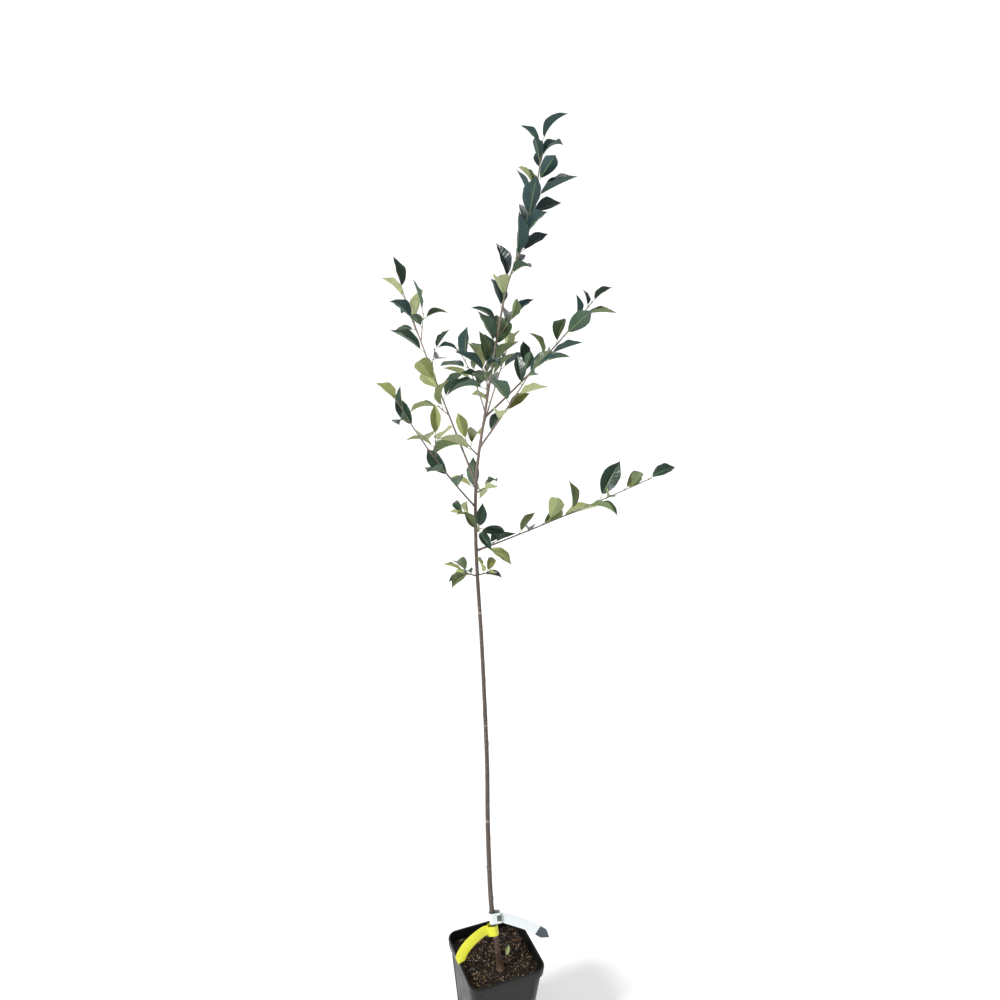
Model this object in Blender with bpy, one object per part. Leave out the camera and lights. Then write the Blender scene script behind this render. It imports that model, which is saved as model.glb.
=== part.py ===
"""A young sour cherry tree in a square nursery pot, with two tie-on labels.

The tree stands in its pot as sold: a slender stem, a fan of thin boughs above chest height and
folded, arching leaves set on a spiral up every shoot. The origin is the centre of the pot's
underside, +Z is up, and the pot's sides face X and Y. Sizes are in millimetres unless they are
multiplied by MM, which makes them metres.
"""

import math
import random
from collections import namedtuple

import bmesh
import bpy
import numpy as np
from mathutils import Vector

MM = 0.001
GAP = 0.3                       # left between pieces that touch

# The pot: moulded, square, tapering to its foot.
POT_HEIGHT = 200
RIM_WIDTH = 150
RIM_BAND = 17                   # height of the band under the rim
RIM_THICKNESS = 3.8
BODY_WIDTH_TOP = 142
BODY_WIDTH_FOOT = 108
WALL = 1.8
FLOOR = 3
CORNER_RADIUS = 20
CORNER_STEPS = 5
PANEL_INSET = 0.8               # each side's panel lies back between its corners
PANEL_MARGIN = 22               # from the pot's corner to the panel's edge
DRAIN_RADIUS = 5.5

# The potting mix, level where the stem stands and uneven elsewhere.
MIX_TOP = 186
MIX_SLOPE = 0.035               # it lies a little higher towards the front
MIX_LUMP = 2.2
LEVEL_REACH = 20

# The stem, from its foot on the mix to the tip of the leader: a route and its half thickness.
STEM_ROUTE = [
    (-2, -31, 186), (-8, -23, 240), (-15, -9, 320), (-19, 5, 470), (-20, 14, 605),
    (-30, 22, 815), (-44, 22, 1000), (-47, 18, 1125), (-38, 11, 1220), (-27, 9, 1300),
    (-6, 9, 1420), (16, 4, 1485), (36, -1, 1577), (40, -3, 1630),
]
STEM_GIRTH = [
    (186, 8.2), (191, 6.6), (205, 5.6), (240, 5.3), (262, 5.7), (285, 4.9), (330, 4.5), (605, 3.9),
    (930, 3.2), (1125, 2.6), (1236, 2.1), (1420, 1.6), (1630, 0.9),
]
STEM_STEP = 6.0
FORK_HEIGHT = 1262              # the trunk ends here, above its last bough
LEADER_JOINT_HEIGHT = 1425
LEADER_TOP = 1630

# Each shoot leaves the stem at a height and runs from its first heading and rise, in degrees, to
# its last ones. It is bare at first and leafy from there on. Heading 0 is +X, 90 is +Y.
Shoot = namedtuple("Shoot", "start heading rise length bare girth leaves leaf_size lift sky twigs seed")
BOUGHS = {
    "left": Shoot(1114, (112, 122), (56, 64), 346, 112, (1.9, 0.8), 11, 56, 42, 0.0, 0.12, 651),
    "lower_left": Shoot(1074, (-155, -144), (43, 50), 258, 48, (1.6, 0.8), 9, 54, 44, 0.1, 0.12, 1899),
    "right": Shoot(1222, (-3, 11), (41, 46), 262, 70, (1.8, 0.8), 11, 52, 42, 0.1, 0.15, 3419),
    "short_right": Shoot(1174, (-70, -73), (47, 50), 170, 30, (1.9, 0.8), 7, 50, 48, 0.1, 0.1, 428),
    "low_right": Shoot(997, (-56, -43), (28, 30), 332, 80, (1.5, 0.7), 12, 54, 50, 0.5, 0.0, 603),
    "inner_left": Shoot(1230, (87, 105), (45, 41), 128, 40, (1.3, 0.7), 6, 50, 46, 0.1, 0.0, 494),
    "rear": Shoot(1205, (48, 40), (50, 56), 150, 40, (1.5, 0.7), 7, 54, 46, 0.1, 0.0, 3849),
}
SPURS = {
    "front_spur": Shoot(1250, (-112, -112), (48, 56), 70, 22, (1.3, 0.8), 7, 62, 50, 0.05, 0.0, 2688),
    "fork_spur": Shoot(1160, (128, 128), (35, 45), 34, 10, (1.3, 0.8), 4, 58, 44, 0.1, 0.0, 1377),
    "upper_right_spur": Shoot(1098, (-15, -15), (20, 40), 22, 8, (1.1, 0.8), 3, 44, 50, 0.1, 0.0, 889),
    "upper_rear_spur": Shoot(1092, (75, 75), (20, 40), 26, 8, (1.1, 0.8), 3, 46, 50, 0.1, 0.0, 1123),
    "middle_left_spur": Shoot(1056, (160, 160), (10, 30), 20, 8, (1.1, 0.8), 3, 40, 50, 0.0, 0.0, 1911),
    "middle_front_spur": Shoot(1030, (-95, -95), (20, 40), 24, 8, (1.1, 0.8), 4, 42, 50, 0.1, 0.0, 379),
    "lower_right_spur": Shoot(999, (-20, -20), (20, 30), 30, 14, (1.1, 0.8), 3, 42, 52, 0.0, 0.0, 1657),
    "lowest_left_spur": Shoot(953, (165, 165), (10, 25), 22, 7, (1.2, 0.8), 5, 46, 52, 0.0, 0.0, 3),
    "lowest_right_spur": Shoot(955, (-45, -45), (15, 25), 22, 7, (1.2, 0.8), 5, 42, 52, 0.0, 0.0, 1497),
}
# The leader's two leafy lengths follow the stem's own route, so they give only their foliage.
LEADER_TIP = Shoot(LEADER_JOINT_HEIGHT, None, None, None, None, None, 18, 58, 40, 0.0, 0.0, 2468)
LEADER = Shoot(FORK_HEIGHT, None, None, None, None, None, 12, 60, 40, 0.0, 0.1, 256)

# Leaves: alternate, on a two-fifths spiral, folded along the rib and arched back.
SPIRAL = 144
PETIOLE = 0.20                  # of the blade's length
BLADE_WIDTH = 0.50              # of the blade's length, laid flat
BLADE_ROWS = (0.0, 0.22, 0.5, 0.8)
RIB_THICKNESS = 0.022           # of the blade's length
PETIOLE_RADIUS = 0.6
CHECK_ROWS = np.linspace(0.06, 1.0, 8)
CHECK_COLUMNS = np.linspace(-1.0, 1.0, 5)
LIMB_STEP = 4 * MM
LIMB_CLEARANCE = 3 * MM
LEAF_CLEARANCE = 5.5 * MM       # between leaves of two shoots
SISTER_CLEARANCE = 3.5 * MM     # between leaves of one shoot

# Tie-on labels: a strap that loops the stem and ends in a free tongue.
LABEL_THICKNESS = 0.6
LABEL_PLAY = 0.95               # between the loop and the stem
LOOP_END = 0.75                 # the loop's closed end, as a share of its round end's width
Label = namedtuple("Label", "height width heading reach tongue lean")
YELLOW_TONGUE = [(-30, -13, 264), (-44, -13, 257), (-59, -12, 244), (-71, -11, 227), (-78.5, -11, 205)]
WHITE_TONGUE = [(24, -33, 288), (44, -44, 282), (62, -54, 273), (80, -64, 261)]
YELLOW_LABEL = Label(267, 19, -22, 11, YELLOW_TONGUE, (-0.8, 0.33, 0.5))
WHITE_LABEL = Label(291, 21, 158, 15, WHITE_TONGUE, (0.45, -0.18, 0.87))

COLOURS = {
    "pot": (0.035, 0.037, 0.038), "mix": (0.06, 0.042, 0.03), "bark": (0.30, 0.20, 0.16),
    "leaf": (0.05, 0.13, 0.045), "yellow": (0.90, 0.86, 0.09), "white": (0.86, 0.87, 0.86),
}
ROUGHNESS = {"pot": 0.42, "mix": 0.95, "bark": 0.6, "leaf": 0.4, "yellow": 0.4, "white": 0.4}
UP = np.array((0.0, 0.0, 1.0))


# Small helpers for vectors and curves

def unit(vector):
    vector = np.asarray(vector, float)
    return vector / math.sqrt(float(vector @ vector))


def smooth_route(points, step):
    """Close points on a smooth curve that passes through each of the given points."""
    p = np.array(points, float)
    p = np.vstack([2 * p[0] - p[1], p, 2 * p[-1] - p[-2]])
    route = []
    for a, b, c, d in zip(p, p[1:], p[2:], p[3:]):
        count = max(1, round(float(np.linalg.norm(c - b)) / step))
        for t in np.arange(count) / count:
            route.append(0.5 * (2 * b + (c - a) * t + (2 * a - 5 * b + 4 * c - d) * t ** 2
                                + (3 * b - a - 3 * c + d) * t ** 3))
    route.append(p[-2])
    return np.array(route)


class Line:
    """A curve of close points, measured along its length."""

    def __init__(self, points):
        self.points = np.array(points, float)
        steps = np.linalg.norm(np.diff(self.points, axis=0), axis=1)
        self.along = np.concatenate([[0.0], np.cumsum(steps)])
        self.length = float(self.along[-1])

    def at(self, distance):
        return np.array([np.interp(distance, self.along, axis) for axis in self.points.T])

    def way(self, distance):
        return unit(self.at(distance + 4 * MM) - self.at(distance - 4 * MM))


# How the tree grows

STEM = Line(smooth_route(STEM_ROUTE, STEM_STEP) * MM)


def stem_distance(height):
    return float(np.interp(height * MM, STEM.points[:, 2], STEM.along))


def stem_radius(height):
    heights, radii = zip(*STEM_GIRTH)
    return float(np.interp(height, heights, radii)) * MM


def stem_taper(distance):
    return stem_radius(float(STEM.at(distance)[2]) / MM)


def shoot_line(shoot):
    """The line of a shoot: it leaves the stem at its first heading and rise and eases to the last."""
    count = max(2, round(shoot.length / 6))
    points = [STEM.at(stem_distance(shoot.start))]
    for i in range(count):
        s = (i + 0.5) / count
        heading = math.radians(shoot.heading[0] + (shoot.heading[1] - shoot.heading[0]) * s)
        rise = math.radians(shoot.rise[0] + (shoot.rise[1] - shoot.rise[0]) * s)
        way = np.array((math.cos(heading) * math.cos(rise), math.sin(heading) * math.cos(rise), math.sin(rise)))
        points.append(points[-1] + way * shoot.length * MM / count)
    return Line(points)


class Limb:
    """A line with its thickness, its leafy stretch, and a cloud of points to measure clearance from."""

    def __init__(self, line, start, end, radius_at):
        self.line, self.start, self.end, self.radius_at = line, start, end, radius_at
        distances = np.arange(0.0, line.length, LIMB_STEP)
        self.cloud = np.array([line.at(d) for d in distances])
        self.radii = np.array([radius_at(d) for d in distances])


def tapering(shoot):
    return lambda distance: float(np.interp(distance, (0, shoot.length * MM), shoot.girth)) * MM


def plan_limbs():
    limbs = {"stem": Limb(STEM, 0.0, STEM.length, stem_taper)}
    for name, shoot in {**BOUGHS, **SPURS}.items():
        limbs[name] = Limb(shoot_line(shoot), shoot.bare * MM, shoot.length * MM, tapering(shoot))
    return limbs


Leaf = namedtuple("Leaf", "root out up length arch fold")


def aim(axis, turn, lift, sky=0.0):
    """A direction that stands off the axis by lift, turned about it, and drawn to the sky."""
    across = unit(np.cross(axis, UP + (0.001, 0, 0)))
    other = np.cross(axis, across)
    turn, lift = math.radians(turn), math.radians(lift)
    radial = across * math.cos(turn) + other * math.sin(turn)
    return unit(axis * math.cos(lift) + radial * math.sin(lift) + UP * sky)


def new_leaf(rng, root, axis, turn, lift, size, sky):
    out = aim(axis, turn, lift + rng.uniform(-14, 14), sky)
    face = axis + UP
    face = unit(face - out * float(face @ out))
    roll = math.radians(rng.uniform(-40, 40))
    up = face * math.cos(roll) + np.cross(out, face) * math.sin(roll)
    length = size * rng.uniform(0.78, 1.2)
    arch = math.radians(10 + 62 * rng.random() ** 1.6)
    fold = math.radians(rng.uniform(24, 46))
    return Leaf(root, out, up, length, arch, fold)


def side_twig(rng, root, axis, turn):
    out = aim(axis, turn, rng.uniform(32, 48))
    length = rng.uniform(22, 38) * MM
    t = np.linspace(0, 1, 5)[:, None]
    return root + out * length * t + UP * 0.2 * length * t ** 2


def blade_profile(s):
    """Half width from the blade's foot to its drawn-out tip, as a share of the widest."""
    return np.sin(math.pi * s ** 0.9) ** (0.75 + 0.7 * s)


def blade_points(leaf, rows, columns):
    """Points of the folded, arched blade: rows from foot to tip, columns from edge to edge."""
    rows = np.asarray(rows, float)[:, None, None]
    columns = np.asarray(columns, float)[None, :, None]
    side = np.cross(leaf.out, leaf.up)
    foot = leaf.root + leaf.out * leaf.length * PETIOLE
    bend = leaf.length / leaf.arch
    angle = leaf.arch * rows
    rib = foot + leaf.out * bend * np.sin(angle) - leaf.up * bend * (1 - np.cos(angle))
    lifted = leaf.up * np.cos(angle) + leaf.out * np.sin(angle)
    half = leaf.length * BLADE_WIDTH / 2 * blade_profile(rows)
    return rib + side * columns * half * math.cos(leaf.fold) + lifted * np.abs(columns) * half * math.sin(leaf.fold)


def leaf_cloud(leaf):
    return blade_points(leaf, CHECK_ROWS, CHECK_COLUMNS).reshape(-1, 3)


def nearest(cloud, others):
    return math.sqrt(float(((cloud[:, None] - others[None]) ** 2).sum(axis=2).min()))


def touches(cloud, limb):
    gaps = np.sqrt(((cloud[:, None] - limb.cloud[None]) ** 2).sum(axis=2)) - limb.radii[None]
    return float(gaps.min()) < LIMB_CLEARANCE


class Crown:
    """What has grown so far, so that each new leaf and twig keeps clear of it."""

    def __init__(self, limbs):
        self.limbs = limbs
        self.grown = []

    def is_clear(self, cloud, far, own, sisters):
        """True when cloud misses every limb and leaf; only its far part is tested on its own limb."""
        if touches(far, self.limbs[own]):
            return False
        if any(touches(cloud, limb) for name, limb in self.limbs.items() if name != own):
            return False
        if any(nearest(cloud, other) < LEAF_CLEARANCE for other in self.grown):
            return False
        return all(nearest(cloud, sister) >= SISTER_CLEARANCE for sister in sisters)

    def grow(self, shoot, own, start, end, has_tip=True):
        """The leaves and side twigs of one shoot; those that would touch a neighbour are left out."""
        rng = random.Random(shoot.seed)
        line = self.limbs[own].line
        turn = rng.uniform(0, 360)
        leaves, twigs, sisters = [], [], []

        def add_leaf(leaf):
            cloud = leaf_cloud(leaf)
            if self.is_clear(cloud, cloud[2 * len(CHECK_COLUMNS):], own, sisters):
                leaves.append(leaf)
                sisters.append(cloud)

        for i in range(shoot.leaves):
            along = (i + 0.5 + rng.uniform(-0.3, 0.3)) / shoot.leaves
            distance = start + (end - start) * along
            turn += SPIRAL + rng.uniform(-24, 24)
            root, axis = line.at(distance), line.way(distance)
            size = shoot.leaf_size * MM * (1 - 0.22 * (2 * along - 0.8) ** 2)
            if rng.random() < shoot.twigs and along < 0.8:
                twig = side_twig(rng, root, axis, turn)
                if self.is_clear(twig[2:], twig[2:], own, sisters):
                    twigs.append(Line(twig))
                    sisters.append(twig[2:])
                    for k, place in enumerate((0.5, 0.8, 1.0)):
                        spot = twigs[-1].length * place
                        lift = shoot.lift if place < 1 else 14
                        add_leaf(new_leaf(rng, twigs[-1].at(spot), twigs[-1].way(spot),
                                          turn + 90 + SPIRAL * k, lift, size * 0.85, shoot.sky))
                continue
            lift = shoot.lift * (1 - 0.45 * max(0.0, (along - 0.75) / 0.25))
            add_leaf(new_leaf(rng, root, axis, turn, lift, size, shoot.sky))
        if has_tip:
            add_leaf(new_leaf(rng, line.at(end), line.way(end), turn + SPIRAL, 14,
                              shoot.leaf_size * MM * 0.85, 0.0))
        self.grown.extend(sisters)
        return leaves, twigs


# Making solids

def clear_scene():
    for old in list(bpy.data.objects):
        bpy.data.objects.remove(old, do_unlink=True)


def material(name):
    made = bpy.data.materials.get(name) or bpy.data.materials.new(name)
    made.use_nodes = True
    shader = made.node_tree.nodes["Principled BSDF"]
    shader.inputs["Base Color"].default_value = (*COLOURS[name], 1.0)
    shader.inputs["Roughness"].default_value = ROUGHNESS[name]
    return made


def lofted(rings):
    """A closed skin over rings of equally many points; a ring of one point is a tip."""
    skin = bmesh.new()
    rows = [[skin.verts.new(Vector(point)) for point in ring] for ring in rings]
    for low, high in zip(rows, rows[1:]):
        count = max(len(low), len(high))
        for i in range(count):
            j = (i + 1) % count
            corners = [low[i % len(low)], low[j % len(low)], high[j % len(high)], high[i % len(high)]]
            skin.faces.new(list(dict.fromkeys(corners)))
    for row in (rows[0], rows[-1]):
        if len(row) > 1:
            skin.faces.new(row)
    bmesh.ops.recalc_face_normals(skin, faces=skin.faces)
    return skin


def solid(name, skin, finish, smooth_angle=0.0):
    mesh = bpy.data.meshes.new(name)
    skin.to_mesh(mesh)
    skin.free()
    mesh.materials.append(material(finish))
    if smooth_angle:
        mesh.shade_smooth()
        mesh.set_sharp_from_angle(angle=math.radians(smooth_angle))
    made = bpy.data.objects.new(name, mesh)
    bpy.context.scene.collection.objects.link(made)
    return made


def combine(base, others, operation):
    """Joins or cuts base with the other objects in one Boolean, applies it and drops the others."""
    group = bpy.data.collections.new(base.name + "_operands")
    bpy.context.scene.collection.children.link(group)
    for other in others:
        group.objects.link(other)
    change = base.modifiers.new("combine", "BOOLEAN")
    change.operand_type = "COLLECTION"
    change.collection = group
    change.operation = operation
    change.solver = "EXACT"
    graph = bpy.context.evaluated_depsgraph_get()
    mesh = bpy.data.meshes.new_from_object(base.evaluated_get(graph))
    base.modifiers.clear()
    base.data = mesh
    for other in others:
        bpy.data.objects.remove(other, do_unlink=True)
    bpy.data.collections.remove(group)
    return base


def ring_about(centre, way, radius, sides, across):
    """A ring of points about a line, with its first point on the side that across names."""
    u = unit(across - way * float(across @ way))
    v = np.cross(way, u)
    angles = [2 * math.pi * k / sides for k in range(sides)]
    return [centre + (u * math.cos(a) + v * math.sin(a)) * radius for a in angles]


def tube_rings(limb, start, end, sides, step):
    """Rings along a limb; each takes its facing from the last, so the skin doesn't twist."""
    count = max(1, round((end - start) / step))
    across = np.array((1.0, 0.0, 0.0))
    rings = []
    for i in range(count + 1):
        distance = start + (end - start) * i / count
        way = limb.line.way(distance)
        rings.append(ring_about(limb.line.at(distance), way, limb.radius_at(distance), sides, across))
        across = rings[-1][0] - limb.line.at(distance)
    return rings


def seat_on_stem(rings, limb):
    """Slides the first ring along the limb to a plane that clears the stem by the usual gap."""
    root, way = limb.line.at(0.0), limb.line.way(0.0)
    distance = stem_distance(float(root[2]) / MM)
    stem_way = STEM.way(distance)
    outward = unit(way - stem_way * float(way @ stem_way))
    reach = stem_taper(distance) + GAP * MM
    rings[0] = [p + way * (reach - float((p - root) @ outward)) / float(way @ outward) for p in rings[0]]
    return rings


def stem_gap_start(limb):
    """How far along a limb its surface clears the stem's."""
    root, way = limb.line.at(0.0), limb.line.way(0.0)
    distance = stem_distance(float(root[2]) / MM)
    lean = float(way @ STEM.way(distance))
    return (stem_taper(distance) + limb.radius_at(0.0) * 1.2) / math.sqrt(1 - lean ** 2)


# The pot and what fills it

def rounded_square(width, radius, height, inset=0.0):
    """Points round a square with round corners, each side set back by inset between its corners."""
    half = width / 2
    edge = half - PANEL_MARGIN
    points = []
    for quarter in range(4):
        turn = quarter * math.pi / 2
        corner = [(half - radius + radius * math.cos(a), half - radius + radius * math.sin(a))
                  for a in (math.pi / 2 * k / CORNER_STEPS for k in range(CORNER_STEPS + 1))]
        panel = [(edge + 1, half), (edge, half - inset), (-edge, half - inset), (-edge - 1, half)]
        for x, y in corner + panel:
            points.append((x * math.cos(turn) - y * math.sin(turn), x * math.sin(turn) + y * math.cos(turn), height))
    return [tuple(value * MM for value in point) for point in points]


def body_width(height):
    """The pot's outer width below its rim band."""
    top = POT_HEIGHT - RIM_BAND
    return BODY_WIDTH_FOOT + (BODY_WIDTH_TOP - BODY_WIDTH_FOOT) * height / top


def inner_width(height):
    return body_width(height) - 2 * WALL


def make_pot():
    band_foot = POT_HEIGHT - RIM_BAND
    rim_inner = RIM_WIDTH - 2 * RIM_THICKNESS
    radius = CORNER_RADIUS
    rings = [
        rounded_square(BODY_WIDTH_FOOT - 3, radius - 1, 0),
        rounded_square(body_width(1.5), radius, 1.5),
        rounded_square(body_width(6), radius, 6),
        rounded_square(body_width(8), radius, 8, PANEL_INSET),
        rounded_square(body_width(band_foot - 4), radius, band_foot - 4, PANEL_INSET),
        rounded_square(body_width(band_foot - 2), radius, band_foot - 2),
        rounded_square(body_width(band_foot), radius, band_foot),
        rounded_square(RIM_WIDTH - 2, radius, band_foot + 1),
        rounded_square(RIM_WIDTH, radius, POT_HEIGHT - 1.5),
        rounded_square(RIM_WIDTH - 1.2, radius - 0.6, POT_HEIGHT),
        rounded_square(rim_inner + 1, radius - 3, POT_HEIGHT),
        rounded_square(rim_inner, radius - 3.5, POT_HEIGHT - 1.2),
        rounded_square(inner_width(band_foot - 2), radius - WALL, band_foot - 2),
        rounded_square(inner_width(FLOOR + 2), radius - WALL, FLOOR + 2),
        rounded_square(inner_width(FLOOR) - 3, radius - WALL - 1, FLOOR),
    ]
    pot = solid("pot", lofted(rings), "pot", 35)
    drains = []
    reach = BODY_WIDTH_FOOT / 2 - 16
    for x, y in [(1, 1), (-1, 1), (-1, -1), (1, -1), (1, 0), (0, 1), (-1, 0), (0, -1)]:
        cutter = bmesh.new()
        bmesh.ops.create_cone(cutter, cap_ends=True, segments=10, radius1=DRAIN_RADIUS * MM,
                              radius2=DRAIN_RADIUS * MM, depth=4 * FLOOR * MM)
        bmesh.ops.translate(cutter, verts=cutter.verts, vec=(x * reach * MM, y * reach * MM, 0))
        drains.append(solid("drain", cutter, "pot"))
    return combine(pot, drains, "DIFFERENCE")


def mix_height(x, y):
    """The mix's surface: a slope and soft lumps, easing to a level patch under the stem."""
    foot_x, foot_y, _ = STEM_ROUTE[0]
    away = math.hypot(x - foot_x, y - foot_y)
    ease = min(1.0, max(0.0, (away - LEVEL_REACH) / LEVEL_REACH))
    lump = math.sin(x * 0.17 + 1.3) * math.cos(y * 0.13) + 0.6 * math.sin(x * 0.31 - y * 0.27)
    return MIX_TOP + ease * (MIX_LUMP * lump - MIX_SLOPE * (y + x * 0.4 - foot_y))


def make_mix():
    rings = []
    for height in (FLOOR + GAP, FLOOR + GAP + 3, MIX_TOP - 12):
        inset = 5 if height < FLOOR + 1 else 0
        rings.append(rounded_square(inner_width(height) - 2 * GAP - inset, CORNER_RADIUS - WALL, height))
    brim = inner_width(MIX_TOP - 12) - 2 * GAP
    foot = STEM_ROUTE[0]
    for share in (1.0, 0.82, 0.62, 0.42, 0.22):
        ring = rounded_square(brim, CORNER_RADIUS - WALL, 0)
        ring = [(foot[0] + (x / MM - foot[0]) * share, foot[1] + (y / MM - foot[1]) * share) for x, y, _ in ring]
        rings.append([(x * MM, y * MM, mix_height(x, y) * MM) for x, y in ring])
    return solid("potting_mix", lofted(rings), "mix")


# The tree's solids

def make_trunk(limbs):
    """The stem from its flat foot to just above the last bough: close rings on the root flare."""
    stem = limbs["stem"]
    heights = [186 + GAP, 191, 205, 235, 262, 285, 330]
    start = stem_distance(heights[-1])
    rings = []
    for height in heights[:-1]:
        centre = STEM.at(stem_distance(height))
        centre[2] = height * MM
        rings.append(ring_about(centre, UP, stem_radius(height), 8, np.array((1.0, 0.0, 0.0))))
    rings += tube_rings(stem, start, stem_distance(FORK_HEIGHT), 8, 48 * MM)
    return solid("trunk", lofted(rings), "bark", 60)


def make_bough(name, limb):
    start = stem_gap_start(limb)
    rings = tube_rings(limb, start, limb.start, 6, 26 * MM)
    rings.insert(0, rings[0])
    return solid(name + "_bough", lofted(seat_on_stem(rings, limb)), "bark", 60)


def leaf_skin(leaf):
    """A leaf with its petiole: thin at the edges, thickest along the rib, sunk in its stem."""
    side = np.cross(leaf.out, leaf.up)
    rings = [[leaf.root + (side * math.cos(a) + leaf.up * math.sin(a)) * PETIOLE_RADIUS * MM
              for a in (0, math.pi / 2, math.pi, 3 * math.pi / 2)]]
    foot = leaf.root + leaf.out * leaf.length * PETIOLE
    rings.append([p - leaf.root + foot for p in rings[0]])
    points = blade_points(leaf, BLADE_ROWS[1:], (1, 0, -1))
    for share, (right, rib, left) in zip(BLADE_ROWS[1:], points):
        angle = leaf.arch * share
        lifted = leaf.up * math.cos(angle) + leaf.out * math.sin(angle)
        thick = RIB_THICKNESS * leaf.length * (1 - 0.4 * share)
        rings.append([right, rib + lifted * thick * 0.4, left, rib - lifted * thick * 0.6])
    rings.append([blade_points(leaf, [1.0], [0])[0, 0]])
    return lofted(rings)


def twig_skin(twig):
    limb = Limb(twig, 0.0, twig.length, lambda distance: (0.9 - 0.3 * distance / twig.length) * MM)
    rings = tube_rings(limb, 0.0, twig.length, 4, 10 * MM)
    rings.append([p + twig.way(twig.length) * MM for p in rings[-1]])
    return lofted(rings)


def make_foliage(name, rings, leaves, twigs):
    """One mass: a stem with its side twigs and leaves fused on."""
    mass = solid(name, lofted(rings), "leaf")
    parts = [solid("twig", twig_skin(twig), "leaf") for twig in twigs]
    parts += [solid("leaf", leaf_skin(leaf), "leaf") for leaf in leaves]
    return combine(mass, parts, "UNION")


def leafy_rings(limb, start, end, sides=5):
    """The stem of a mass, run on a little past its end so that the last leaf is rooted in it."""
    rings = tube_rings(limb, start, end, sides, 22 * MM)
    tip = limb.line.way(end) * 1.5 * MM
    rings.append([p + tip for p in rings[-1]])
    return rings


def make_crown(limbs):
    crown = Crown(limbs)
    stem = limbs["stem"]
    fork, joint, top = (stem_distance(h) for h in (FORK_HEIGHT, LEADER_JOINT_HEIGHT, LEADER_TOP))
    leaves, twigs = crown.grow(LEADER_TIP, "stem", joint, top)
    make_foliage("leader_tip_foliage", leafy_rings(stem, joint, top), leaves, twigs)
    leaves, twigs = crown.grow(LEADER, "stem", fork, joint, has_tip=False)
    rings = tube_rings(stem, fork + GAP * MM, joint - GAP * MM, 6, 28 * MM)
    make_foliage("leader_foliage", rings, leaves, twigs)
    for name, shoot in BOUGHS.items():
        limb = limbs[name]
        make_bough(name, limb)
        leaves, twigs = crown.grow(shoot, name, limb.start, limb.end)
        make_foliage(name + "_foliage", leafy_rings(limb, limb.start + GAP * MM, limb.end), leaves, twigs)
    for name, shoot in SPURS.items():
        limb = limbs[name]
        leaves, twigs = crown.grow(shoot, name, limb.start, limb.end)
        rings = leafy_rings(limb, stem_gap_start(limb), limb.end)
        rings.insert(0, rings[0])
        make_foliage(name, seat_on_stem(rings, limb), leaves, twigs)


# The labels

def label_loop(label):
    """The band round the stem, square to it: two straight sides, a round end and a closed end."""
    distance = stem_distance(label.height)
    centre, axis = STEM.at(distance), STEM.way(distance)
    heading = math.radians(label.heading)
    u = np.array((math.cos(heading), math.sin(heading), 0.0))
    u = unit(u - axis * float(u @ axis))
    v = np.cross(axis, u)
    edges = (label.height - label.width / 2, label.height, label.height + label.width / 2)
    inner = max(stem_radius(height) for height in edges) / MM + LABEL_PLAY
    rings = []
    for radius in (inner, inner + LABEL_THICKNESS):
        outline = [(radius * math.cos(a), radius * math.sin(a)) for a in np.radians(np.linspace(-90, 90, 9))]
        far = -label.reach - (radius - inner)
        outline += [(far, radius * LOOP_END), (far, -radius * LOOP_END)]
        for edge in (-0.5, 0.5):
            rings.append([centre + (u * x + v * y + axis * label.width * edge) * MM for x, y in outline])
    return [rings[0], rings[2], rings[3], rings[1]], u, axis


def make_label(name, label, finish):
    rings, u, axis = label_loop(label)
    skin = bmesh.new()
    rows = [[skin.verts.new(Vector(point)) for point in ring] for ring in rings]
    for low, high in zip(rows, rows[1:] + rows[:1]):
        for i in range(len(low)):
            j = (i + 1) % len(low)
            skin.faces.new((low[i], low[j], high[j], high[i]))
    bmesh.ops.recalc_face_normals(skin, faces=skin.faces)
    band = solid(name, skin, finish)
    distance = stem_distance(label.height)
    root = STEM.at(distance) / MM - u * label.reach
    route = Line(smooth_route([root + u * 0.4, *label.tongue], 4))
    return combine(band, [solid("tongue", tongue_skin(route, axis, label), finish)], "UNION")


def tongue_skin(route, axis, label):
    """The free end of a strap: it turns from the stem's axis to its own lean, and is pointed."""
    rings = []
    count = 9
    for i in range(count + 1):
        s = i / count
        way = unit(route.at(route.length * s + 2) - route.at(route.length * s - 2))
        across = unit(axis * (1 - s) + np.array(label.lean) * s)
        across = unit(across - way * float(across @ way))
        face = np.cross(way, across)
        half = label.width / 2 * (1 if s < 0.85 else max(0.12, (1 - s) / 0.15))
        centre = route.at(route.length * s)
        corners = [(half, 0.5), (-half, 0.5), (-half, -0.5), (half, -0.5)]
        rings.append([(centre + across * w + face * LABEL_THICKNESS * t) * MM for w, t in corners])
    return lofted(rings)


def main():
    clear_scene()
    limbs = plan_limbs()
    make_pot()
    make_mix()
    make_trunk(limbs)
    make_crown(limbs)
    make_label("yellow_label", YELLOW_LABEL, "yellow")
    make_label("white_label", WHITE_LABEL, "white")


main()
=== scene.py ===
# %% [markdown]
# # A young sour cherry tree in a nursery pot
#
# The real thing is a one-year-old grafted tree, about 1.7 m tall, sold in a black square pot.
# A slender stem carries a fan of thin shoots. Each leaf is folded along its rib and arched back,
# with a finely toothed edge. Lengths are in millimetres unless multiplied by MM, and +Z is up.

# %%
import math
import random
from collections import namedtuple

import bpy
import numpy as np
from mathutils import Euler, Matrix, Vector, noise


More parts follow.
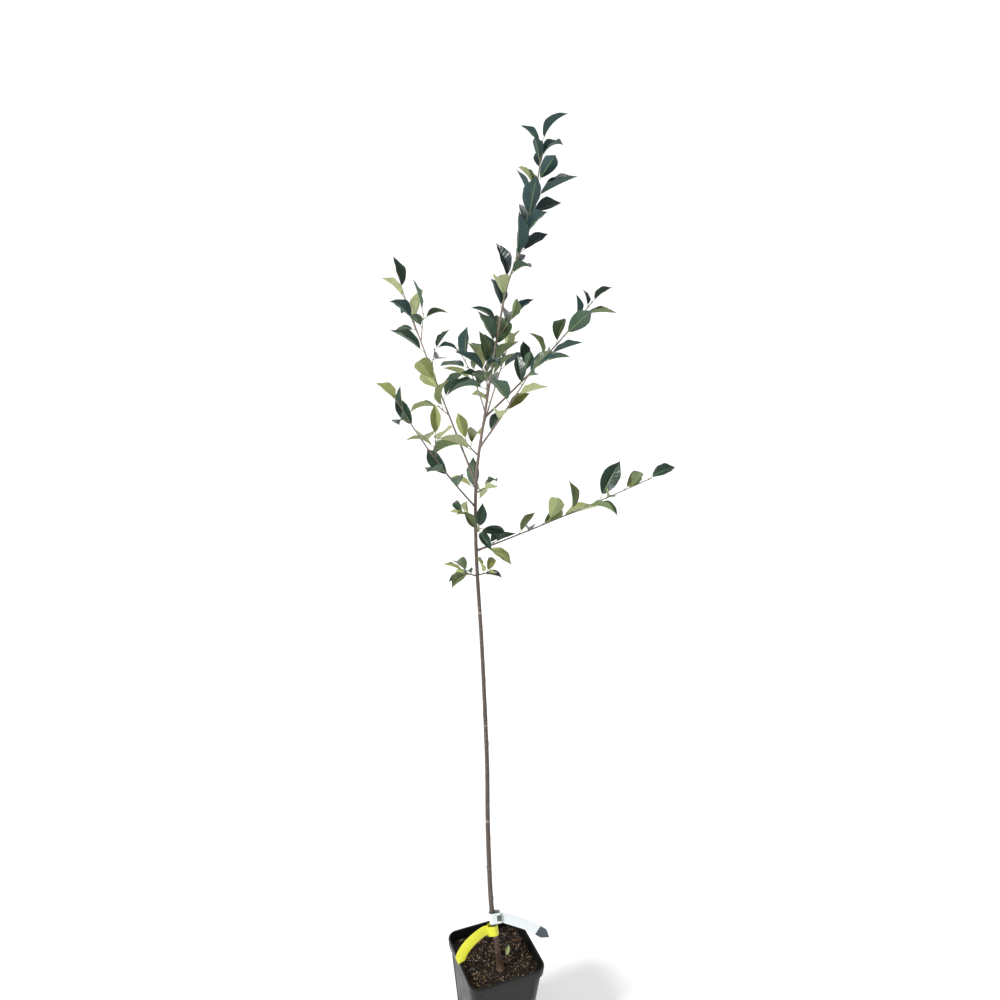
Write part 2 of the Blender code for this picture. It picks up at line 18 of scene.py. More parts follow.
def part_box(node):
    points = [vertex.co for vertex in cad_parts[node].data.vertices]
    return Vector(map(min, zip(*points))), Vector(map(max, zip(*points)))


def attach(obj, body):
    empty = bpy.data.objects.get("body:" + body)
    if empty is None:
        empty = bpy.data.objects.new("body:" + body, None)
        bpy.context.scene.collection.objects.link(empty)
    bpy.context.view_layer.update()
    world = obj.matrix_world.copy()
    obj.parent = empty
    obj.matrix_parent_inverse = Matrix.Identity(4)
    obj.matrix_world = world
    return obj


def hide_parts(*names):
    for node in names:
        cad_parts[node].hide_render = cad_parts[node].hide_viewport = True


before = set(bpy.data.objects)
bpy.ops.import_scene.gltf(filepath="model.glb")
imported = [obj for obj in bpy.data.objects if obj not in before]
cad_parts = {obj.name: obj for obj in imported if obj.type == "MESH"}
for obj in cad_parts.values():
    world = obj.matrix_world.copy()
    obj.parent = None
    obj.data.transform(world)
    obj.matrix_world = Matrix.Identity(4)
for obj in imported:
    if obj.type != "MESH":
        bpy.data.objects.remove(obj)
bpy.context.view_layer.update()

MM = 0.001
UP = np.array((0.0, 0.0, 1.0))

# %% [markdown]
# ## Sizes of the tree
#
# The stem is a route with a girth, its radius at each height. Each shoot leaves it at a height,
# stays bare for a stretch, and turns from its first heading and rise to its last. Its girth is
# the radius at its foot and at its tip, and its seed settles where its leaves stand.

# %%
STEM_ROUTE = [
    (-2, -31, 186), (-8, -23, 240), (-15, -9, 320), (-19, 5, 470), (-20, 14, 605),
    (-30, 22, 815), (-44, 22, 1000), (-47, 18, 1125), (-38, 11, 1220), (-27, 9, 1300),
    (-6, 9, 1420), (16, 4, 1485), (36, -1, 1577), (40, -3, 1630),
]
STEM_GIRTH = [
    (186, 8.2), (191, 6.6), (205, 5.6), (240, 5.3), (262, 5.7), (285, 4.9), (330, 4.5), (605, 3.9),
    (930, 3.2), (1125, 2.6), (1236, 2.1), (1420, 1.6), (1630, 0.9),
]
STEM_STEP = 6.0
FORK_HEIGHT = 1262
LEADER_JOINT_HEIGHT = 1425
LEADER_TOP = 1630
GRAFT_HEIGHT = 262

Shoot = namedtuple("Shoot", "start heading rise length bare girth leaves leaf_size lift sky twigs seed")
BOUGHS = {
    "left": Shoot(1114, (112, 122), (56, 64), 346, 112, (1.9, 0.8), 11, 56, 42, 0.0, 0.12, 651),
    "lower_left": Shoot(1074, (-155, -144), (43, 50), 258, 48, (1.6, 0.8), 9, 54, 44, 0.1, 0.12, 1899),
    "right": Shoot(1222, (-3, 11), (41, 46), 262, 70, (1.8, 0.8), 11, 52, 42, 0.1, 0.15, 3419),
    "short_right": Shoot(1174, (-70, -73), (47, 50), 170, 30, (1.9, 0.8), 7, 50, 48, 0.1, 0.1, 428),
    "low_right": Shoot(997, (-56, -43), (28, 30), 332, 80, (1.5, 0.7), 12, 54, 50, 0.5, 0.0, 603),
    "inner_left": Shoot(1230, (87, 105), (45, 41), 128, 40, (1.3, 0.7), 6, 50, 46, 0.1, 0.0, 494),
    "rear": Shoot(1205, (48, 40), (50, 56), 150, 40, (1.5, 0.7), 7, 54, 46, 0.1, 0.0, 3849),
}
SPURS = {
    "front_spur": Shoot(1250, (-112, -112), (48, 56), 70, 22, (1.3, 0.8), 7, 62, 50, 0.05, 0.0, 2688),
    "fork_spur": Shoot(1160, (128, 128), (35, 45), 34, 10, (1.3, 0.8), 4, 58, 44, 0.1, 0.0, 1377),
    "upper_right_spur": Shoot(1098, (-15, -15), (20, 40), 22, 8, (1.1, 0.8), 3, 44, 50, 0.1, 0.0, 889),
    "upper_rear_spur": Shoot(1092, (75, 75), (20, 40), 26, 8, (1.1, 0.8), 3, 46, 50, 0.1, 0.0, 1123),
    "middle_left_spur": Shoot(1056, (160, 160), (10, 30), 20, 8, (1.1, 0.8), 3, 40, 50, 0.0, 0.0, 1911),
    "middle_front_spur": Shoot(1030, (-95, -95), (20, 40), 24, 8, (1.1, 0.8), 4, 42, 50, 0.1, 0.0, 379),
    "lower_right_spur": Shoot(999, (-20, -20), (20, 30), 30, 14, (1.1, 0.8), 3, 42, 52, 0.0, 0.0, 1657),
    "lowest_left_spur": Shoot(953, (165, 165), (10, 25), 22, 7, (1.2, 0.8), 5, 46, 52, 0.0, 0.0, 3),
    "lowest_right_spur": Shoot(955, (-45, -45), (15, 25), 22, 7, (1.2, 0.8), 5, 42, 52, 0.0, 0.0, 1497),
}
LEADER_TIP = Shoot(LEADER_JOINT_HEIGHT, None, None, None, None, None, 18, 58, 40, 0.0, 0.0, 2468)
LEADER = Shoot(FORK_HEIGHT, None, None, None, None, None, 12, 60, 40, 0.0, 0.1, 256)

SPIRAL = 144
PETIOLE = 0.20
BLADE_WIDTH = 0.50
CHECK_ROWS = np.linspace(0.06, 1.0, 8)
CHECK_COLUMNS = np.linspace(-1.0, 1.0, 5)
LIMB_STEP = 4 * MM
LIMB_CLEARANCE = 3 * MM
LEAF_CLEARANCE = 5.5 * MM
SISTER_CLEARANCE = 3.5 * MM

# %% [markdown]
# ## How the tree grows
#
# Cherry leaves stand on a spiral of two turns in five leaves. Each new leaf is tried against what
# has grown before it and left out where the space is taken, as a shaded bud fails on the tree.

# %%
def unit(vector):
    vector = np.asarray(vector, float)
    return vector / math.sqrt(float(vector @ vector))


def smooth_route(points, step):
    """Close points on a smooth curve that passes through each of the given points."""
    p = np.array(points, float)
    p = np.vstack([2 * p[0] - p[1], p, 2 * p[-1] - p[-2]])
    route = []
    for a, b, c, d in zip(p, p[1:], p[2:], p[3:]):
        count = max(1, round(float(np.linalg.norm(c - b)) / step))
        for t in np.arange(count) / count:
            route.append(0.5 * (2 * b + (c - a) * t + (2 * a - 5 * b + 4 * c - d) * t ** 2
                                + (3 * b - a - 3 * c + d) * t ** 3))
    route.append(p[-2])
    return np.array(route)


class Line:
    """A curve of close points, measured along its length."""

    def __init__(self, points):
        self.points = np.array(points, float)
        steps = np.linalg.norm(np.diff(self.points, axis=0), axis=1)
        self.along = np.concatenate([[0.0], np.cumsum(steps)])
        self.length = float(self.along[-1])

    def at(self, distance):
        return np.array([np.interp(distance, self.along, axis) for axis in self.points.T])

    def way(self, distance):
        return unit(self.at(distance + 4 * MM) - self.at(distance - 4 * MM))


STEM = Line(smooth_route(STEM_ROUTE, STEM_STEP) * MM)


def stem_distance(height):
    return float(np.interp(height * MM, STEM.points[:, 2], STEM.along))


def stem_radius(height):
    heights, radii = zip(*STEM_GIRTH)
    return float(np.interp(height, heights, radii)) * MM


def stem_taper(distance):
    return stem_radius(float(STEM.at(distance)[2]) / MM)


def shoot_line(shoot):
    """The line of a shoot: it leaves the stem at its first heading and rise and eases to the last."""
    count = max(2, round(shoot.length / 6))
    points = [STEM.at(stem_distance(shoot.start))]
    for i in range(count):
        s = (i + 0.5) / count
        heading = math.radians(shoot.heading[0] + (shoot.heading[1] - shoot.heading[0]) * s)
        rise = math.radians(shoot.rise[0] + (shoot.rise[1] - shoot.rise[0]) * s)
        level = math.cos(rise)
        way = np.array((math.cos(heading) * level, math.sin(heading) * level, math.sin(rise)))
        points.append(points[-1] + way * shoot.length * MM / count)
    return Line(points)


class Limb:
    """A line with its thickness, its leafy stretch, and a cloud of points to measure clearance from."""

    def __init__(self, line, start, end, radius_at):
        self.line, self.start, self.end, self.radius_at = line, start, end, radius_at
        distances = np.arange(0.0, line.length, LIMB_STEP)
        self.cloud = np.array([line.at(d) for d in distances])
        self.radii = np.array([radius_at(d) for d in distances])


def tapering(shoot):
    return lambda distance: float(np.interp(distance, (0, shoot.length * MM), shoot.girth)) * MM


def plan_limbs():
    limbs = {"stem": Limb(STEM, 0.0, STEM.length, stem_taper)}
    for name, shoot in {**BOUGHS, **SPURS}.items():
        limbs[name] = Limb(shoot_line(shoot), shoot.bare * MM, shoot.length * MM, tapering(shoot))
    return limbs


Leaf = namedtuple("Leaf", "root out up length arch fold")


def aim(axis, turn, lift, sky=0.0):
    """A direction that stands off the axis by lift, turned about it, and drawn to the sky."""
    across = unit(np.cross(axis, UP + (0.001, 0, 0)))
    other = np.cross(axis, across)
    turn, lift = math.radians(turn), math.radians(lift)
    radial = across * math.cos(turn) + other * math.sin(turn)
    return unit(axis * math.cos(lift) + radial * math.sin(lift) + UP * sky)


def new_leaf(rng, root, axis, turn, lift, size, sky):
    out = aim(axis, turn, lift + rng.uniform(-14, 14), sky)
    face = axis + UP
    face = unit(face - out * float(face @ out))
    roll = math.radians(rng.uniform(-40, 40))
    up = face * math.cos(roll) + np.cross(out, face) * math.sin(roll)
    length = size * rng.uniform(0.78, 1.2)
    arch = math.radians(10 + 62 * rng.random() ** 1.6)
    fold = math.radians(rng.uniform(24, 46))
    return Leaf(root, out, up, length, arch, fold)


def side_twig(rng, root, axis, turn):
    out = aim(axis, turn, rng.uniform(32, 48))
    length = rng.uniform(22, 38) * MM
    t = np.linspace(0, 1, 5)[:, None]
    return root + out * length * t + UP * 0.2 * length * t ** 2


def blade_profile(s):
    """Half width from the blade's foot to its drawn-out tip, as a share of the widest."""
    return np.sin(math.pi * s ** 0.9) ** (0.75 + 0.7 * s)


def blade_points(leaf, rows, columns, width=1.0, lift=0.0):
    """Points of the folded, arched blade: rows from foot to tip, columns from edge to edge.

    width scales each point's distance from the rib, and lift raises each point off the blade.
    """
    rows = np.asarray(rows, float)[:, None, None]
    columns = np.asarray(columns, float)[None, :, None]
    side = np.cross(leaf.out, leaf.up)
    foot = leaf.root + leaf.out * leaf.length * PETIOLE
    bend = leaf.length / leaf.arch
    angle = leaf.arch * rows
    rib = foot + leaf.out * bend * np.sin(angle) - leaf.up * bend * (1 - np.cos(angle))
    lifted = leaf.up * np.cos(angle) + leaf.out * np.sin(angle)
    half = leaf.length * BLADE_WIDTH / 2 * blade_profile(rows) * width
    flat = rib + side * columns * half * math.cos(leaf.fold)
    return flat + lifted * (np.abs(columns) * half * math.sin(leaf.fold) + lift)


def leaf_cloud(leaf):
    return blade_points(leaf, CHECK_ROWS, CHECK_COLUMNS).reshape(-1, 3)


def nearest(cloud, others):
    return math.sqrt(float(((cloud[:, None] - others[None]) ** 2).sum(axis=2).min()))


def touches(cloud, limb):
    gaps = np.sqrt(((cloud[:, None] - limb.cloud[None]) ** 2).sum(axis=2)) - limb.radii[None]
    return float(gaps.min()) < LIMB_CLEARANCE


class Crown:
    """What has grown so far, so that each new leaf and twig keeps clear of it."""

    def __init__(self, limbs):
        self.limbs = limbs
        self.grown = []

    def is_clear(self, cloud, far, own, sisters):
        """True when cloud misses every limb and leaf; only its far part is tested on its own limb."""
        if touches(far, self.limbs[own]):
            return False
        if any(touches(cloud, limb) for name, limb in self.limbs.items() if name != own):
            return False
        if any(nearest(cloud, other) < LEAF_CLEARANCE for other in self.grown):
            return False
        return all(nearest(cloud, sister) >= SISTER_CLEARANCE for sister in sisters)

    def grow(self, shoot, own, start, end, has_tip=True):
        """The leaves and side twigs of one shoot; those that would touch a neighbour are left out."""
        rng = random.Random(shoot.seed)
        line = self.limbs[own].line
        turn = rng.uniform(0, 360)
        leaves, twigs, sisters = [], [], []

        def add_leaf(leaf):
            cloud = leaf_cloud(leaf)
            if self.is_clear(cloud, cloud[2 * len(CHECK_COLUMNS):], own, sisters):
                leaves.append(leaf)
                sisters.append(cloud)

        for i in range(shoot.leaves):
            along = (i + 0.5 + rng.uniform(-0.3, 0.3)) / shoot.leaves
            distance = start + (end - start) * along
            turn += SPIRAL + rng.uniform(-24, 24)
            root, axis = line.at(distance), line.way(distance)
            size = shoot.leaf_size * MM * (1 - 0.22 * (2 * along - 0.8) ** 2)
            if rng.random() < shoot.twigs and along < 0.8:
                twig = side_twig(rng, root, axis, turn)
                if self.is_clear(twig[2:], twig[2:], own, sisters):
                    twigs.append(Line(twig))
                    sisters.append(twig[2:])
                    for k, place in enumerate((0.5, 0.8, 1.0)):
                        spot = twigs[-1].length * place
                        lift = shoot.lift if place < 1 else 14
                        add_leaf(new_leaf(rng, twigs[-1].at(spot), twigs[-1].way(spot),
                                          turn + 90 + SPIRAL * k, lift, size * 0.85, shoot.sky))
                continue
            lift = shoot.lift * (1 - 0.45 * max(0.0, (along - 0.75) / 0.25))
            add_leaf(new_leaf(rng, root, axis, turn, lift, size, shoot.sky))
        if has_tip:
            add_leaf(new_leaf(rng, line.at(end), line.way(end), turn + SPIRAL, 14,
                              shoot.leaf_size * MM * 0.85, 0.0))
        self.grown.extend(sisters)
        return leaves, twigs


# %% [markdown]
# ## Finishes
#
# Every finish is a few procedural nodes on a principled shader, with its pattern at the real size.

# %%
def colour(text):
    """The linear colour of an sRGB hex text."""
    values = [int(text[i:i + 2], 16) / 255 for i in (1, 3, 5)]
    linear = [v / 12.92 if v <= 0.04045 else ((v + 0.055) / 1.055) ** 2.4 for v in values]
    return (*linear, 1.0)


def add(tree, kind, links=None, **settings):
    """Adds a node: settings are its properties, links its inputs' values or sources."""
    made = tree.nodes.new(kind)
    for key, value in settings.items():
        setattr(made, key, value)
    for key, value in (links or {}).items():
        if isinstance(value, bpy.types.NodeSocket):
            tree.links.new(value, made.inputs[key])
        else:
            made.inputs[key].default_value = value
    return made


def new_finish(name, base, roughness, specular=0.5):
    """A principled material and its parts: (material, tree, shader, coordinates)."""
    made = bpy.data.materials.new(name)
    made.use_nodes = True
    tree = made.node_tree
    shader = tree.nodes["Principled BSDF"]
    shader.inputs["Base Color"].default_value = colour(base)
    shader.inputs["Roughness"].default_value = roughness
    shader.inputs["Specular IOR Level"].default_value = specular
    place = add(tree, "ShaderNodeTexCoord")
    return made, tree, shader, place


def math_node(tree, operation, first, second=0.0):
    return add(tree, "ShaderNodeMath", {0: first, 1: second}, operation=operation).outputs[0]


def blend(tree, factor, first, second):
    made = add(tree, "ShaderNodeMix", data_type="RGBA")
    for socket, value in ((made.inputs[0], factor), (made.inputs[6], first), (made.inputs[7], second)):
        if isinstance(value, bpy.types.NodeSocket):
            tree.links.new(value, socket)
        else:
            socket.default_value = value
    return made.outputs[2]


def noise_of(tree, vector, scale, detail=3.0):
    """Noise at a real scale: scale is in bumps per metre."""
    made = add(tree, "ShaderNodeTexNoise", {"Vector": vector, "Scale": scale, "Detail": detail})
    return made.outputs["Fac"]


def ramp(tree, factor, stops):
    made = add(tree, "ShaderNodeValToRGB", {"Fac": factor})
    elements = made.color_ramp.elements
    while len(elements) < len(stops):
        elements.new(0.5)
    for element, (position, value) in zip(elements, stops):
        element.position = position
        element.color = colour(value)
    return made.outputs["Color"]


def bump(tree, shader, height, distance, strength=0.6):
    made = add(tree, "ShaderNodeBump", {"Height": height, "Strength": strength, "Distance": distance})
    tree.links.new(made.outputs["Normal"], shader.inputs["Normal"])


# %% [markdown]
# A leaf's upper face is dark and glossy, with a paler rib and side veins. Its underside is pale,
# grey-green and dull. The veins follow the leaf's own map: U runs across and V from foot to tip.

# %%
VEINS = 9
VEIN_SLANT = 0.16
VEIN_HALF_WIDTH = 0.07
RIB_HALF_WIDTH = 0.035


def leaf_finish(name, base, vein, roughness, vein_share):
    made, tree, shader, place = new_finish(name, base, roughness, 0.45)
    split = add(tree, "ShaderNodeSeparateXYZ", {"Vector": place.outputs["UV"]})
    across = math_node(tree, "ABSOLUTE", math_node(tree, "SUBTRACT", split.outputs["X"], 0.5))
    slant = math_node(tree, "MULTIPLY", across, 2 * VEIN_SLANT)
    along = math_node(tree, "SUBTRACT", split.outputs["Y"], slant)
    phase = math_node(tree, "FRACT", math_node(tree, "MULTIPLY", along, VEINS))
    from_vein = math_node(tree, "ABSOLUTE", math_node(tree, "SUBTRACT", phase, 0.5))
    side = math_node(tree, "LESS_THAN", from_vein, VEIN_HALF_WIDTH)
    rib = math_node(tree, "LESS_THAN", across, RIB_HALF_WIDTH)
    veins = math_node(tree, "MAXIMUM", math_node(tree, "MULTIPLY", side, 0.55), rib)
    mottle = noise_of(tree, place.outputs["Object"], 260.0)
    deep = tuple(c * 0.72 for c in colour(base)[:3]) + (1.0,)
    blade = blend(tree, mottle, deep, tuple(min(1.0, c * 1.3) for c in colour(base)[:3]) + (1.0,))
    tree.links.new(blend(tree, math_node(tree, "MULTIPLY", veins, vein_share), blade, colour(vein)),
                   shader.inputs["Base Color"])
    fine = noise_of(tree, place.outputs["Object"], 900.0)
    bump(tree, shader, math_node(tree, "ADD", math_node(tree, "MULTIPLY", veins, -0.5), fine), 0.0003, 0.5)
    return made


# Each tone of leaf: its upper face, its underside and its veins.
LEAF_TONES = {
    "deep_teal": ("#152c2e", "#2c4846", "#486a64"),
    "dark_green": ("#23392d", "#49614e", "#66805f"),
    "fresh_green": ("#3a4f2e", "#68794f", "#93a06c"),
    "soft_green": ("#57643a", "#899461", "#aeb883"),
    "olive": ("#747737", "#98a05c", "#bcc082"),
    # painted highlight: the pale yellow-green of leaves with the sun on them and shining through them
    "painted_highlight_green": ("#959f63", "#aeb685", "#ced3a6"),
}
LEAF_FINISHES = []
for tone, (upper, under, vein) in LEAF_TONES.items():
    LEAF_FINISHES.append(leaf_finish(tone + "_leaf_face", upper, vein, 0.3, 0.45))
    LEAF_FINISHES.append(leaf_finish(tone + "_leaf_underside", under, vein, 0.6, 0.7))

# %% [markdown]
# Cherry bark is smooth, grey-brown and crossed by short pale lenticels. The rootstock below the
# graft is rough and red-brown. Towards the tips the wood turns pale pink, then green.

# %%
def bark_finish():
    made, tree, shader, place = new_finish("smooth_cherry_bark", "#8a6f60", 0.55)
    split = add(tree, "ShaderNodeSeparateXYZ", {"Vector": place.outputs["Object"]})
    height = math_node(tree, "DIVIDE", split.outputs["Z"], 1.7)
    tone = ramp(tree, height, [
        (0.110, "#6a523c"), (0.125, "#402a21"), (0.152, "#49322a"), (0.162, "#584b43"),
        (0.36, "#524943"), (0.60, "#665a52"), (0.74, "#93827a"), (0.96, "#8f8c6c"),
    ])
    streaks = add(tree, "ShaderNodeMapping", {"Vector": place.outputs["Object"], "Scale": (1.0, 1.0, 0.12)})
    streak = noise_of(tree, streaks.outputs["Vector"], 700.0, 5.0)
    tone = blend(tree, math_node(tree, "MULTIPLY", streak, 0.45), tone, colour("#3a302b"))
    bands = add(tree, "ShaderNodeMapping", {"Vector": place.outputs["Object"], "Scale": (0.30, 0.30, 1.9)})
    band = noise_of(tree, bands.outputs["Vector"], 420.0, 2.0)
    lenticel = math_node(tree, "GREATER_THAN", band, 0.66)
    tone = blend(tree, math_node(tree, "MULTIPLY", lenticel, 0.5), tone, colour("#c9b7a2"))
    levels = add(tree, "ShaderNodeMapping", {"Vector": place.outputs["Object"], "Scale": (0.03, 0.03, 1.0)})
    scar = math_node(tree, "GREATER_THAN", noise_of(tree, levels.outputs["Vector"], 75.0, 1.0), 0.685)
    tone = blend(tree, math_node(tree, "MULTIPLY", scar, 0.55), tone, colour("#b9aea2"))
    tree.links.new(tone, shader.inputs["Base Color"])
    bump(tree, shader, math_node(tree, "ADD", streak, math_node(tree, "MULTIPLY", lenticel, 0.4)), 0.0006, 0.6)
    return made


BARK = bark_finish()

# %% [markdown]
# The pot is moulded black polythene: satin, a little dusty, with faint upright streaks.

# %%
def pot_finish():
    made, tree, shader, place = new_finish("black_moulded_polythene", "#101110", 0.45, 0.22)
    fall = add(tree, "ShaderNodeMapping", {"Vector": place.outputs["Object"], "Scale": (1.0, 1.0, 0.08)})
    streak = noise_of(tree, fall.outputs["Vector"], 160.0, 4.0)
    dust = noise_of(tree, place.outputs["Object"], 45.0, 6.0)
    mixed = math_node(tree, "MULTIPLY", math_node(tree, "ADD", streak, dust), 0.1)
    tree.links.new(blend(tree, mixed, colour("#080908"), colour("#3c3d38")), shader.inputs["Base Color"])
    tree.links.new(ramp(tree, dust, [(0.3, "#969696"), (0.7, "#b2b2b2")]), shader.inputs["Roughness"])
    grain = noise_of(tree, place.outputs["Object"], 1400.0, 2.0)
    bump(tree, shader, grain, 0.0002, 0.35)
    return made


def mix_finish():
    made, tree, shader, place = new_finish("damp_peat_and_bark", "#2b201a", 0.9, 0.25)
    coarse = noise_of(tree, place.outputs["Object"], 150.0, 6.0)
    fine = noise_of(tree, place.outputs["Object"], 900.0, 4.0)
    tone = ramp(tree, coarse, [(0.3, "#0e0a08"), (0.5, "#231912"), (0.62, "#40301f"), (0.8, "#665036")])
    tree.links.new(blend(tree, math_node(tree, "MULTIPLY", fine, 0.4), tone, colour("#0d0a08")),
                   shader.inputs["Base Color"])
    bump(tree, shader, math_node(tree, "ADD", coarse, fine), 0.002, 1.0)
    return made


def plain_finish(name, base, roughness, spread=0.25, scale=500.0):
    """A single material with a slight mottle and grain of its own."""
    made, tree, shader, place = new_finish(name, base, roughness)
    mottle = noise_of(tree, place.outputs["Object"], scale, 4.0)
    deep = tuple(c * (1 - spread) for c in colour(base)[:3]) + (1.0,)
    tree.links.new(blend(tree, mottle, deep, colour(base)), shader.inputs["Base Color"])
    bump(tree, shader, mottle, 0.0004, 0.4)
    return made


POT = pot_finish()
MIX = mix_finish()
BARK_CHIP = plain_finish("shredded_bark_chip", "#5b4029", 0.8, 0.5)
PALE_CHIP = plain_finish("pale_wood_chip", "#a08c66", 0.8, 0.3)
PERLITE = plain_finish("perlite_grain", "#cfcabd", 0.9, 0.2)
FIBRE = plain_finish("peat_fibre", "#8f6f3f", 0.8, 0.4)
STALK = plain_finish("green_petiole", "#93a368", 0.5, 0.15)
YELLOW = plain_finish("yellow_label_plastic", "#dede34", 0.38, 0.06, 120.0)
WHITE = plain_finish("white_label_plastic", "#dae0e2", 0.38, 0.05, 120.0)
# painted shade: this dark grey-green stands for the shade inside the white label's loop and under its fold
LOCK_PAINTED_SHADE = plain_finish("label_lock_painted_shade", "#4f5a52", 0.45, 0.15, 200.0)
SLATE = plain_finish("slate_printed_patch", "#3c4650", 0.42, 0.1, 200.0)

# %% [markdown]
# ## Meshes from grids
#
# A tube, a strap and a leaf are all grids of points, so one function turns points and faces into
# a piece. It starts from a plain square and swaps in the finished mesh.

# %%
def add_piece(name, points, faces, materials, slots=None, uv=None, smooth=40):
    """A piece from its points and faces: slots gives each face its material, uv each corner's place."""
    bpy.ops.object.select_all(action="DESELECT")
    bpy.ops.mesh.primitive_plane_add(size=0.01, location=(0, 0, 0))
    piece = bpy.context.object
    piece.name = name
    mesh = bpy.data.meshes.new(name)
    mesh.from_pydata(np.asarray(points).tolist(), [], [tuple(int(i) for i in face) for face in faces])
    for made in materials:
        mesh.materials.append(made)
    if slots is not None:
        mesh.polygons.foreach_set("material_index", np.asarray(slots, dtype=np.int32))
    if uv is not None:
        layer = mesh.uv_layers.new(name="UVMap")
        corners = np.empty(len(mesh.loops), dtype=np.int32)
        mesh.loops.foreach_get("vertex_index", corners)
        layer.data.foreach_set("uv", np.asarray(uv)[corners].ravel())
    old = piece.data
    piece.data = mesh
    bpy.data.meshes.remove(old)
    bpy.ops.object.mode_set(mode="EDIT")
    bpy.ops.mesh.select_all(action="SELECT")
    bpy.ops.mesh.normals_make_consistent(inside=False)
    bpy.ops.object.mode_set(mode="OBJECT")
    bpy.ops.object.shade_smooth_by_angle(angle=math.radians(smooth))
    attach(piece, "root")
    return piece


class Heap:
    """Points and faces of many small shapes that become one piece."""

    def __init__(self):
        self.points, self.faces, self.slots, self.uv = [], [], [], []
        self.count = 0

    def put(self, points, faces, slot=0, uv=None):
        points = np.asarray(points, float)
        self.points.append(points)
        self.faces.extend([[i + self.count for i in face] for face in faces])
        self.slots.extend([slot] * len(faces) if np.isscalar(slot) else slot)
        self.uv.append(np.zeros((len(points), 2)) if uv is None else uv)
        self.count += len(points)

    def piece(self, name, materials, smooth=40):
        return add_piece(name, np.concatenate(self.points), self.faces, materials,
                         self.slots, np.concatenate(self.uv), smooth)


def tube_faces(rings, sides):
    faces = []
    for i in range(rings - 1):
        for j in range(sides):
            k = (j + 1) % sides
            faces.append([i * sides + j, i * sides + k, (i + 1) * sides + k, (i + 1) * sides + j])
    faces.append(list(range(sides))[::-1])
    faces.append([(rings - 1) * sides + j for j in range(sides)])
    return faces


def tube_points(centres, radii, sides):
    """Rings of points about a line of centres; radii is one value a ring or one a point."""
    centres = np.asarray(centres, float)
    radii = np.asarray(radii, float)
    across = np.array((1.0, 0.0, 0.0))
    angles = 2 * math.pi * np.arange(sides) / sides
    points = []
    for i, centre in enumerate(centres):
        way = unit(centres[min(i + 1, len(centres) - 1)] - centres[max(i - 1, 0)])
        u = unit(across - way * float(across @ way))
        v = np.cross(way, u)
        radius = np.broadcast_to(radii[i], (sides,))
        ring = np.outer(np.cos(angles), u) + np.outer(np.sin(angles), v)
        points.append(centre + ring * radius[:, None])
        across = u
    return np.concatenate(points)


# %% [markdown]
# ## The blade of a leaf
#
# The blade is folded along the rib, quilted between its side veins, waved a little at the edge and
# toothed all round. Its two faces share their border, so it is a closed sheet 0.3 mm thick.

# %%
ROWS = np.concatenate([[0.012], np.linspace(0.03, 0.97, 47), [0.985, 0.997]])
HALF_COLUMNS = np.array([0.06, 0.22, 0.42, 0.62, 0.8, 0.93, 1.0])
COLUMNS = np.concatenate([-HALF_COLUMNS[::-1], [0.0], HALF_COLUMNS])
TEETH = 23
TOOTH_DEPTH = 0.055
BLADE_FULLNESS = 1.08
BLADE_THICKNESS = 0.3 * MM
QUILT_DEPTH = 0.0055
EDGE_WAVE = 0.018
RIB_GROOVE = 0.006


def blade_template():
    """Faces and map of a blade: the upper grid, then the lower one's inner points."""
    rows, columns = len(ROWS), len(COLUMNS)
    upper = np.arange(rows * columns).reshape(rows, columns)
    lower = upper.copy()
    lower[1:-1, 1:-1] = rows * columns + np.arange((rows - 2) * (columns - 2)).reshape(rows - 2, columns - 2)
    faces, slots = [], []
    for grid, slot in ((upper, 0), (lower, 1)):
        for i in range(rows - 1):
            for j in range(columns - 1):
                corners = [grid[i, j], grid[i, j + 1], grid[i + 1, j + 1], grid[i + 1, j]]
                faces.append([int(c) for c in (corners if slot == 0 else corners[::-1])])
                slots.append(slot)
    u = (COLUMNS + 1) / 2
    uv = np.stack(np.meshgrid(u, ROWS), axis=-1)
    return faces, slots, np.concatenate([uv.reshape(-1, 2), uv[1:-1, 1:-1].reshape(-1, 2)])


BLADE_FACES, BLADE_SLOTS, BLADE_MAP = blade_template()


def blade_mesh(leaf, rng):
    """The points of one toothed, quilted blade."""
    rows = ROWS[:, None, None]
    columns = COLUMNS[None, :, None]
    saw = (rows * TEETH * 2) % 1.0
    notch = TOOTH_DEPTH * (1 - saw) * np.abs(columns) ** 6 * np.sin(math.pi * rows) ** 0.3
    teeth = BLADE_FULLNESS - notch
    quilt = -np.cos(2 * math.pi * VEINS * (rows - VEIN_SLANT * np.abs(columns)))
    body = np.sin(math.pi * rows) * np.sin(math.pi * np.clip(np.abs(columns), 0, 1)) ** 0.7
    waves = rows * rng.uniform(1.6, 3.0)
    wave = np.sin(2 * math.pi * (waves + np.where(columns < 0, rng.random(), rng.random())))
    lift = QUILT_DEPTH * leaf.length * quilt * body
    lift = lift + EDGE_WAVE * leaf.length * wave * np.abs(columns) ** 2 * np.sin(math.pi * rows)
    lift = lift - RIB_GROOVE * leaf.length * np.exp(-(columns / 0.12) ** 2) * np.sin(math.pi * rows)
    upper = blade_points(leaf, ROWS, COLUMNS, teeth, lift)
    lower = blade_points(leaf, ROWS, COLUMNS, teeth, lift - BLADE_THICKNESS)[1:-1, 1:-1]
    return np.concatenate([upper.reshape(-1, 3), lower.reshape(-1, 3)])


def rib_mesh(leaf):
    """The petiole, which runs on as the rib under the blade."""
    shares = np.concatenate([[0.0, 0.35, 0.7], np.linspace(1.0, 5.0, 12)]) * PETIOLE
    stalk = [leaf.root + leaf.out * leaf.length * share for share in shares[:3]]
    under = blade_points(leaf, np.clip(shares[3:] - PETIOLE, 0.0, 0.86), [0.0], 1.0, -0.45 * MM)[:, 0]
    radii = np.interp(shares, [0.0, 0.03, PETIOLE, 1.0], [0.95, 0.62, 0.6, 0.18]) * MM
    return tube_points(np.concatenate([stalk, under]), radii, 6)


